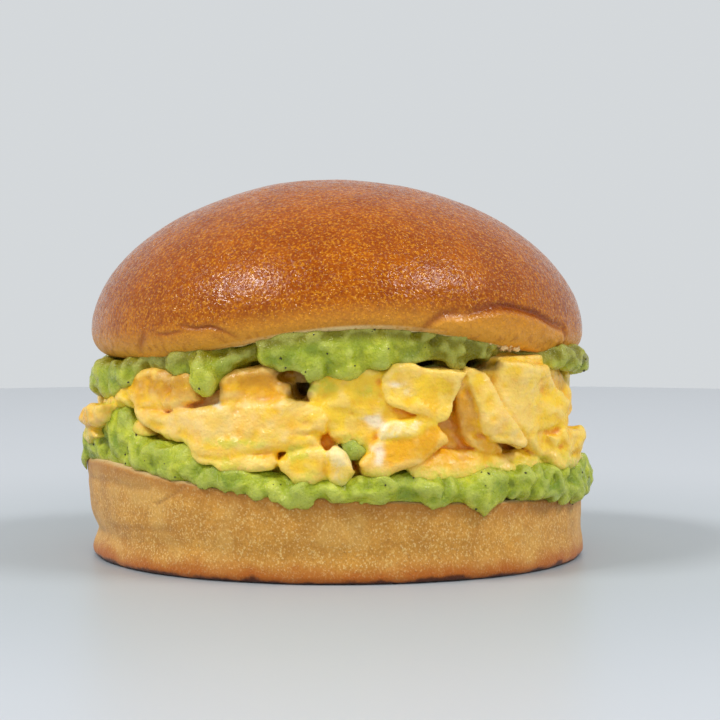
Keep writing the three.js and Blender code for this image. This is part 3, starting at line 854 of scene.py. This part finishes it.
streaks = 0.22 * lumps(at * [1, 1, 2.4], 3.6, 12) + 0.16 * lumps(at, 1.6, 13)
torn = np.maximum(0, lumps(at * [1, 1, 2.6], 4.6, 14) - 0.46)
egg_field[skin] -= streaks - 1.3 * torn
egg_field = np.maximum(pitted(egg_field), -0.35 - lower_field)
ceiling = 43.6 - 6 * swell(GRID_AZIMUTH, -84, 26)
egg_field = np.maximum(egg_field, GRID_HEIGHT - ceiling - 9 * (1 - outer))
over_cut_face = GRID_HEIGHT - crown_floor(GRID_AZIMUTH, np.minimum(GRID_REACH, CROWN_RADIUS))
egg_field = np.maximum(egg_field, np.where(GRID_REACH < 51.5, over_cut_face + 0.3, -9)).astype(np.float32)


def under_a_spread(at):
    """Where the heap is hidden, which is further out above and below, under the avocado."""
    reach = bearing(at)[1]
    return (reach < 41) | (reach < 46.5) & (np.abs(at[:, 2] - (EGG_FLOOR + EGG_ROOF) / 2) > 8)


egg = cast_from(
    "scrambled_egg_folds",
    egg_field,
    {
        "hollow_shade_and_ridge_light": (egg_field - blurred(egg_field, 8)) / 0.3,
        "tone": tones,
        "deep": shaded_pit,
        "white": lambda at: spotted(at, WHITES),
        "shade_spot": lambda at: spotted(at, SHADE_SPOTS),
        "green": lambda at: np.maximum(spotted(at, GREENS), 1 - ease(read_at(lower_field, at), 0.2, 2.2)),
        "pale": lambda at: spotted(at, PALES),
    },
    under_a_spread,
)

f = Finish("soft scrambled egg")
tone = f.shifted(f.mark("tone"), f.noise(3.4, 4, 0.6, 0.5), 2.4)
f.colour = f.mix(f.span(tone, -0.2, 1.2), "fdd034", "f4ae10")
f.lay(f.span(tone, -0.2, -0.8), "fce8b0")
f.lay(f.patches(7, 0.5, 0.66), "f8b018", 0.4)
f.lay(f.span(f.noise(4, 2, 0.5, 0.6), 0.68, 0.8), "fdeabc", 0.5)
# Painted shade, deeper orange, in the creases between the folds.
f.lay(f.span(f.mark("hollow_shade_and_ridge_light"), 0.3, 1.5), "e08606", 0.9)
# Painted light, paler, on the ridges of the folds.
f.lay(f.span(f.mark("hollow_shade_and_ridge_light"), -0.15, -0.8), "fddc84", 0.4)
# Painted shade, near black, in the holes and deep between the layers.
f.lay(f.mark("deep"), "46200a", 0.95)
# Painted shade, browner, on folds that lie in shade under the spreads and the folds beside them.
f.lay(f.mark("shade_spot"), "cc8a14", 0.75)
f.lay(f.plus(f.times(f.mark("pale"), 0.4), f.times(f.patches(5.4, 0.5, 0.66, 3, 0.6), 0.3)), "fbd78e")
f.lay(f.times(f.mark("green"), f.patches(1.6, 0.3, 0.56, 3, 0.6)), "c9cc3c", 0.6)
f.lay(f.mark("white"), "fbf0dc", 0.65)
f.dress(
    egg,
    Roughness=f.span(f.noise(1.5), 0.35, 0.65, 0.18, 0.42),
    Normal=f.bump(f.noise(0.7, 3, 0.55), 0.2, under=f.bump(f.noise(2, 3, upright=1.3), 0.34)),
    Specular_IOR_Level=0.4,
    Subsurface_Weight=0.12,
    Subsurface_Radius=(0.0026, 0.0014, 0.0003),
    Subsurface_Scale=1.0,
)

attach(egg, "root")
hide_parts("scrambled_egg")

# ---- The upper spread of avocado ----
# The same mash, spread on the cut face of the crown and pressed down on the egg. It is thick and bright at
# the middle of the front, hangs in a lobe on the left, and lies back in the shade on the right, where that
# shade is painted into its colour, as it is just under the rim.

UPPER_EDGE = [
    (-110, 42.5, 37, 53.4), (-94, 40.2, 33.8, 53), (-80, 40.6, 34.2, 52.6), (-68, 41.4, 34, 53.2),
    (-57, 41.6, 35.8, 53.2), (-53, 42.5, 38.6, 51.5), (-50, 43.6, 40.4, 50), (-46, 44.5, 39.8, 50.2),
    (-41, 45.4, 38.8, 51), (-36.5, 46, 38.8, 51.4), (-34.5, 46, 38.6, 51.6), (-31, 46.2, 37.4, 51.8),
    (-28, 46.2, 38.4, 51.4), (-25.5, 46.3, 40, 50.6), (-22, 46.6, 42.2, 50), (-19.5, 46.5, 44, 50),
    (-16, 48.2, 42, 52), (-11, 49.8, 41, 52.4), (-5, 50.6, 40, 52.4), (-1, 51.2, 41.2, 52.2),
    (1.5, 51.6, 41.8, 52.2), (5, 51.8, 40.2, 52.6), (9, 51.8, 41.2, 52.4), (15, 51.8, 41.6, 52.2),
    (18.5, 51.6, 41.9, 51.8), (22, 51.5, 42.9, 51.6), (26, 51.4, 42.1, 51.6), (30, 51.2, 41.2, 51.6),
    (34, 50.8, 41.7, 51.4), (37, 50.4, 42.6, 51.2), (40, 50, 42.8, 50.6), (42, 49, 43.8, 48.6),
    (50, 46, 42.6, 48.5), (54, 45.2, 42, 50.5), (59, 44.8, 41, 54.6), (68, 44.2, 40, 55.6),
    (74, 43.6, 39.6, 55.2), (82, 43, 38.6, 53.6), (104, 43, 38.6, 52.8), (118, 43.6, 37.8, 53.6),
    (134, 45, 39.6, 52.4), (150, 46, 40.6, 51.6), (172, 46.6, 39.4, 52.6), (190, 46.4, 38.8, 53),
    (208, 45.8, 39.6, 52.4), (226, 44.6, 37, 53.8), (240, 43.4, 38.4, 53),
]

UPPER_DABS = [
    ((-30.6, 50.6, 40), (3, 2.9, 4.9), 0.05, 1.3), ((-38, 49.6, 41.8), (3, 2.6, 2.2), 0.5, 0.3),
    ((-71, 50.8, 39.4), (3.2, 2.6, 2.4), 0.1, 1.1), ((-5, 50, 43), (3.4, 2.6, 3), 0.3, 0.4),
    ((3.6, 49.8, 42.4), (3.8, 2.8, 3), -0.4, 0.9), ((10, 49.8, 44), (3, 2.6, 2.8), 0, 0.1),
]

top, bottom, reach = np.array(edge_at(UPPER_EDGE, GRID_AZIMUTH), np.float32)
top = CROWN_FLOOR + 2 + (top + 0.8 - CROWN_FLOOR - 2) * outer
bottom = EGG_ROOF + (bottom - EGG_ROOF) * outer
upper_slab = slab(top, bottom, reach - 1.0, 3.0)
upper_field, upper_tones = mashed(UPPER_EDGE, UPPER_DABS, upper_slab, 61, 1.4)
upper_field = np.maximum(pitted(upper_field), -0.3 - egg_field)
inside_rim = CROWN_RADIUS - rim_tuck(GRID_AZIMUTH) + 0.4
beside_rim = GRID_HEIGHT - (RIM_LOW + rim_lift(GRID_AZIMUTH)) - 1.4 * np.maximum(GRID_REACH - inside_rim, 0)
under_cut_face = np.where(GRID_REACH < inside_rim, over_cut_face - 0.3, beside_rim)
upper_field = np.maximum(upper_field, under_cut_face).astype(np.float32)


def shaded(at):
    """How much painted shade the upper spread gets: where it lies back, just under the crown's rim, round to
    the right and a little on the left.
    """
    azimuth, reach = bearing(at)
    back = 1 - ease(reach, 48.4, 51)
    under = ease(at[:, 2] - RIM_LOW - rim_lift(azimuth), -2.8, -0.4)
    return np.clip(back + under + 0.9 * swell(azimuth, 31, 15) + 0.2 * swell(azimuth, -38, 26), 0, 1)


upper = cast_from(
    "upper_avocado_mash",
    upper_field,
    {
        "hollow_shade_and_ridge_light": (upper_field - blurred(upper_field, 6)) / 0.3,
        "tone": upper_tones,
        "shade_under_crown": shaded,
        "deep": depth_in,
    },
)
upper.data.materials.append(lower.data.materials[0])
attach(upper, "root")
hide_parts("avocado_upper")

# ---- The crown of the bun ----
# The domed upper half, brushed with egg before baking, so its crust is deep brown, smooth and glossy
# above and paler at the rim. It arches over the filling, and the soft crust is creased beside the rim.

CROWN_CREASES = [
    dict(line=[(-43, 48.1), (-39, 48.2), (-35, 48.9)], width=0.3, depth=0.3),
    dict(line=[(-35.6, 50), (-31, 49.5), (-27.5, 50), (-24.7, 49.3), (-21, 47.8)], width=0.32, depth=0.5),
    dict(line=[(-46, 47.8), (-48.3, 46.2), (-50, 44.4)], width=0.7, depth=0.25),
    dict(line=[(18.5, 49), (20.7, 50.9), (23.7, 52.5), (28, 52.9)], width=0.6, depth=0.35),
    dict(
        line=[(30, 52.2), (35, 53.4), (39.5, 53.8), (44, 53.3), (51.3, 51.9), (56.5, 50.2), (64, 48.6)],
        width=0.62, depth=0.85,
    ),
    dict(line=[(63, 48.8), (65.4, 46.4), (64.8, 44.2)], width=0.6, depth=0.4),
    dict(line=[(152, 50.4), (166, 51.4), (184, 50.2)], width=0.5, depth=0.7),
    dict(line=[(236, 47.6), (248, 48.4), (262, 47.4)], width=0.45, depth=0.5),
]
# the soft crust that bulges under the crease on the right
CROWN_LIP = [
    (18.5, 48.6), (20.7, 50.4), (23.7, 51.9), (29, 52.2), (35, 52.7), (39.5, 53.1), (44, 52.6), (51.3, 51.2),
    (56.5, 49.5), (62.6, 48), (63.8, 46), (62.5, 42), (40, 44), (20, 46.5),
]
LIP_MIDDLE = 40
CROWN_SECTORS, DOME_RINGS, TUCK_RINGS, CUT_RINGS = 480, 118, 37, 22

crown_azimuth = np.arange(CROWN_SECTORS)[:, None] * 360 / CROWN_SECTORS
lift = rim_lift(crown_azimuth)
tuck = rim_tuck(crown_azimuth)
widest = CROWN_WIDEST + 0.6 * lift
rim = RIM_LOW + lift
slope = np.radians(90 * (1 - np.linspace(0, 1, DOME_RINGS) ** 0.72))[None, :]
dome_height = widest + (CROWN_TOP - widest) * np.sin(slope) ** (2 / CROWN_POWER)
dome_reach = np.broadcast_to(CROWN_RADIUS * np.cos(slope) ** (2 / CROWN_POWER), dome_height.shape)
turned = np.radians(np.linspace(0, 90, TUCK_RINGS))[None, 1:]
tuck_reach = CROWN_RADIUS - tuck * (1 - np.cos(turned))
tuck_height = widest - (widest - rim) * np.sin(turned)
inward = np.linspace(1, 0, CUT_RINGS)[None, 1:]
face_reach = (CROWN_RADIUS - tuck) * inward
face_height = crown_floor(crown_azimuth, face_reach)
crown_reach = np.concatenate([dome_reach, tuck_reach, face_reach], axis=1)
crown_height = np.concatenate([dome_height, tuck_height, face_height], axis=1)
ring = np.arange(crown_reach.shape[1])[None, :]
below_widest = ring - DOME_RINGS
on_side = 1 - ease(below_widest, 30, 38)
spot = place(crown_azimuth, crown_reach, crown_height)
# Painted shade along the creases, kept as a mark for the crust's colour.
crown_crease_shade = np.zeros(crown_reach.shape)
dent = np.zeros(crown_reach.shape)
for crease in CROWN_CREASES:
    line = crease["line"]
    gap = near_line(crown_azimuth, crown_height, CROWN_RADIUS, line)
    along = turn(line[0][0], crown_azimuth) / turn(line[0][0], line[-1][0])
    taper = np.sin(np.pi * np.clip(along, 0, 1)) ** 0.5
    dent += crease["depth"] * bell(gap, crease["width"]) * (0.2 + 0.8 * taper)
    shade = bell(gap, 1.3 * crease["width"]) * (0.3 + 0.7 * taper)
    crown_crease_shade = np.maximum(crown_crease_shade, shade * min(0.75, 0.4 + crease["depth"]))
lip_plane = [(math.radians(a - LIP_MIDDLE) * CROWN_RADIUS, z) for a, z in CROWN_LIP]
lip_way = way_round(LIP_MIDDLE, crown_azimuth, CROWN_RADIUS)
lip_inside = -outline_distance(lip_way, crown_height, lip_plane)
crown_lip = ease(lip_inside, -0.3, 1.3)
dent -= 0.7 * crown_lip
uneven = 0.32 * lumps(spot, 20, 2) + 0.1 * lumps(spot, 7, 6) + 0.05 * lumps(spot, 2.4, 7)
uneven += crown_lip * (0.16 * lumps(spot, 1.1, 8) + 0.2 * lumps(spot, 2.6, 9))
grown = (uneven - dent) * on_side * ease(ring, 0, 6)
crumb_pores = 0.4 * lumps(spot, 1.5, 10) * (1 - on_side) * ease(crown_reach, 25, 40)
crown_points = place(crown_azimuth, crown_reach + grown * ease(ring, 10, 60), crown_height + crumb_pores)
crown_points[..., 2] += grown * (1 - ease(ring, 10, 60))
crown_points[:, 0] = crown_points[:, 0].mean(axis=0)
crown_points[:, -1] = crown_points[:, -1].mean(axis=0)
crown = skin_of(
    "crown_crust_and_crumb",
    crown_points,
    crease=crown_crease_shade,
    crumb=np.maximum(
        ease(below_widest + 1.5 * lumps(spot, 3, 11), 29, 34),
        0.8 * swell(crown_azimuth, -1, 18) * ease(crown_height - rim, 1.1, 0.5) * (below_widest > 0),
    ),
    rimward=ease(crown_height, rim + 6.8, rim + 0.5) * (1 - 0.35 * swell(crown_azimuth, 4, 24)),
    lip=crown_lip,
)

f, blister = crust("glazed crown crust", "8a3c00", "a85400", "b46406", "f0a41c", 46, 58)
grain = f.noise(0.56, 3, 0.6, 0.4)
f.lay(f.patches(3, 0.48, 0.64, 3, 0.6), "8a3a00", 0.5)
f.lay(f.span(grain, 0.47, 0.34), "762c00", 0.5)
f.lay(f.mark("rimward"), "eaa634", 0.8)
f.lay(f.mark("lip"), "d8942c", 0.5)
f.lay(f.span(grain, 0.52, 0.64), "e89e1e", 0.45)
streak = f.span(f.noise(1.6, 3, 0.6, upright=0.6), 0.5, 0.66)
f.lay(f.times(streak, f.times(f.mark("rimward"), 0.55)), "a86018")
# Painted shade in the creases beside the rim.
f.lay(f.mark("crease"), "86380a")
f.lay(f.mark("crumb"), crumb_colour(f))
ripple = f.bump(f.noise(2.6), 0.16)
f.dress(
    crown,
    Roughness=f.plus(f.span(f.noise(1.1), 0.36, 0.64, 0.05, 0.3), f.times(f.mark("rimward"), 0.35)),
    Normal=f.bump(f.noise(0.8), 0.2, under=f.bump(blister, 0.06, under=ripple)),
    Specular_IOR_Level=0.29,
)

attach(crown, "root")
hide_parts("bun_crown")

# ---- Ground pepper and bread crumbs ----
# Black pepper ground coarsely over the avocado, in angular specks up to 0.6 mm across, and a few pale
# crumbs torn from the cut edge of the crown, which hang under its rim. Both only lie on what they touch.

PEPPER = {"Grains": 19000.0, "Smallest": 0.10, "Largest": 0.30, "Seed": 4}
CRUMBS = {"Grains": 330000.0, "Smallest": 0.22, "Largest": 0.8, "Seed": 9}


def faces_of(pieces, wanted):
    """A bare object of those faces whose middle, in millimetres, is wanted."""
    verts, faces = [], []
    for piece in pieces:
        polygons = piece.data.polygons
        middles = np.empty(len(polygons) * 3)
        polygons.foreach_get("center", middles)
        for n in np.flatnonzero(wanted(middles.reshape(-1, 3) / MM)):
            corners = [piece.data.vertices[v].co[:] for v in polygons[int(n)].vertices]
            faces.append(range(len(verts), len(verts) + len(corners)))
            verts += corners
    return put("bed", mesh_of("bed", verts, faces))


def strewn(name, bed, sizes, finish, rounds):
    """Small rough grains strewn over the bed, made one plain mesh."""
    tree = bpy.data.node_groups.new(name, "GeometryNodeTree")
    tree.is_modifier = True
    face = tree.interface
    face.new_socket("Geometry", in_out="INPUT", socket_type="NodeSocketGeometry")
    keys = {}
    for label, value in sizes.items():
        kind = "NodeSocketInt" if isinstance(value, int) else "NodeSocketFloat"
        keys[label] = face.new_socket(label, in_out="INPUT", socket_type=kind).identifier
    face.new_socket("Geometry", in_out="OUTPUT", socket_type="NodeSocketGeometry")

    def node(kind, inputs, **settings):
        return add_node(tree, kind, inputs, **settings).outputs

    given = tree.nodes.new("NodeGroupInput").outputs
    places = node(
        "GeometryNodeDistributePointsOnFaces",
        {"Mesh": given["Geometry"], "Density": given["Grains"], "Seed": given["Seed"]},
    )
    grain = node("GeometryNodeMeshIcoSphere", {"Radius": MM, "Subdivisions": rounds})
    spot = node("GeometryNodeInputPosition", {})
    jolt = node("ShaderNodeTexNoise", {"Vector": spot[0], "Scale": 0.9 / MM, "Detail": 1.0})
    shift = node("ShaderNodeVectorMath", {0: jolt["Color"], 1: (0.5, 0.5, 0.5)}, operation="SUBTRACT")
    shift = node("ShaderNodeVectorMath", {0: shift[0], "Scale": 2.2 * MM}, operation="SCALE")
    grain = node("GeometryNodeSetPosition", {"Geometry": grain["Mesh"], "Offset": shift[0]})
    spin = node("FunctionNodeRandomValue", {0: (0, 0, 0), 1: (6, 6, 6), 8: 3}, data_type="FLOAT_VECTOR")
    limits = {2: given["Smallest"], 3: given["Largest"], 8: given["Seed"]}
    size = node("FunctionNodeRandomValue", limits, data_type="FLOAT")
    grains = node(
        "GeometryNodeInstanceOnPoints",
        {"Points": places["Points"], "Instance": grain[0], "Rotation": spin[0], "Scale": size[1]},
    )
    plain = node("GeometryNodeRealizeInstances", {"Geometry": grains[0]})
    dressed = node("GeometryNodeSetMaterial", {"Geometry": plain[0], "Material": finish.material})
    tree.links.new(dressed[0], tree.nodes.new("NodeGroupOutput").inputs[0])

    modifier = bed.modifiers.new(name, "NODES")
    modifier.node_group = tree
    for label, value in sizes.items():
        modifier[keys[label]] = value
    bpy.context.view_layer.update()
    evaluated = bed.evaluated_get(bpy.context.evaluated_depsgraph_get())
    mesh = bpy.data.meshes.new_from_object(evaluated)
    bed.modifiers.remove(modifier)
    bpy.data.objects.remove(bed)
    mesh.name = name
    return put(name, mesh)


f = Finish("ground black pepper")
f.colour = f.mix(f.noise(0.3), "16120c", "4a3c26")
f.dress(Roughness=0.6)
pepper_bed = faces_of((lower, upper), lambda at: bearing(at)[1] > 50.5)
pepper = strewn("ground_pepper", pepper_bed, PEPPER, f, 1)
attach(pepper, "root")


def under_rim(at):
    azimuth, reach = bearing(at)
    near_edge = (reach > 47.6) & (at[:, 2] < RIM_LOW + rim_lift(azimuth) + 0.6)
    torn = sum(swell(azimuth, middle, 2.6) for middle in (39, 43.5, 57.5, 112, 151, 214, 260))
    return near_edge & (torn > 0.5)


f = Finish("pale bread crumb")
f.colour = f.mix(f.noise(0.5), "f6dda8", "dcae66")
f.dress(Roughness=0.8)
crumbs = strewn("torn_bread_crumbs", faces_of((crown,), under_rim), CRUMBS, f, 2)
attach(crumbs, "root")

# ---- The floor, the light and the camera ----
# A pale table top in a pale room, seen almost level from the front, painted a little darker round the bun as
# its shadow. Two soft lights overhead make the highlights on the glaze, and two wide fills, which its gloss
# doesn't show, lift the shade.

FLOOR_REACH = 535.0
FLOOR_CORNERS = 96
floor_ring = place(np.arange(FLOOR_CORNERS) * 360 / FLOOR_CORNERS, FLOOR_REACH, -0.1) * MM
table = put("table_top", mesh_of("table_top", floor_ring.tolist(), [range(FLOOR_CORNERS)]))
f = Finish("pale table with painted shadow")
spread = f.node("ShaderNodeVectorMath", {0: f.where}, operation="LENGTH").outputs["Value"]
# Painted shadow: the table is darker round the bun and paler further out.
f.colour = f.mix(f.span(spread, 0.05, 0.2), "adb4b9", "c1c5ca")
f.dress(table, Roughness=0.4)

sky = bpy.data.worlds.new("pale room")
sky.use_nodes = True
back = sky.node_tree.nodes["Background"]
back.inputs["Color"].default_value = paint("e3e7ea")
way = sky.node_tree.nodes.new("ShaderNodeTexCoord").outputs["Generated"]
rise = add_node(sky.node_tree, "ShaderNodeSeparateXYZ", {0: way}).outputs["Z"]
fading = {"Value": rise, "From Min": 0.12, "From Max": 0.8, "To Min": 0.86, "To Max": 0.4}
fade = add_node(sky.node_tree, "ShaderNodeMapRange", fading).outputs[0]
feed(sky.node_tree, back.inputs["Strength"], fade)
bpy.context.scene.world = sky


def soft_light(name, towards, distance, width, height, power):
    lamp = bpy.data.lights.new(name, "AREA")
    lamp.shape, lamp.size, lamp.size_y, lamp.energy = "RECTANGLE", width, height, power
    made = put(name, lamp)
    way = np.array(towards) / np.linalg.norm(towards)
    made.location = way * distance + [0, 0, 0.045]
    made.rotation_euler = Vector(-way).to_track_quat("-Z", "Y").to_euler()
    return made


soft_light("left softbox", (-0.56, -0.27, 0.78), 1.6, 0.52, 0.25, 13.5)
soft_light("right softbox", (0.6, -0.2, 0.78), 1.6, 0.58, 0.29, 11.3)
front_fill = soft_light("front fill", (0.1, -1, 0.35), 1.4, 0.9, 0.7, 3.2)
top_fill = soft_light("top fill", (0, 0.15, 1), 1.3, 1.1, 1.1, 3)
front_fill.visible_glossy = top_fill.visible_glossy = False

LOOKS_DOWN = 3.18
camera = put("camera", bpy.data.cameras.new("camera"))
camera.location = (0.005, -0.5, 0.0686)
camera.rotation_euler = (math.radians(90 - LOOKS_DOWN), 0, 0)
camera.data.lens, camera.data.sensor_width = 116.15, 36
bpy.context.scene.camera = camera
bpy.context.scene.view_settings.view_transform = "Standard"
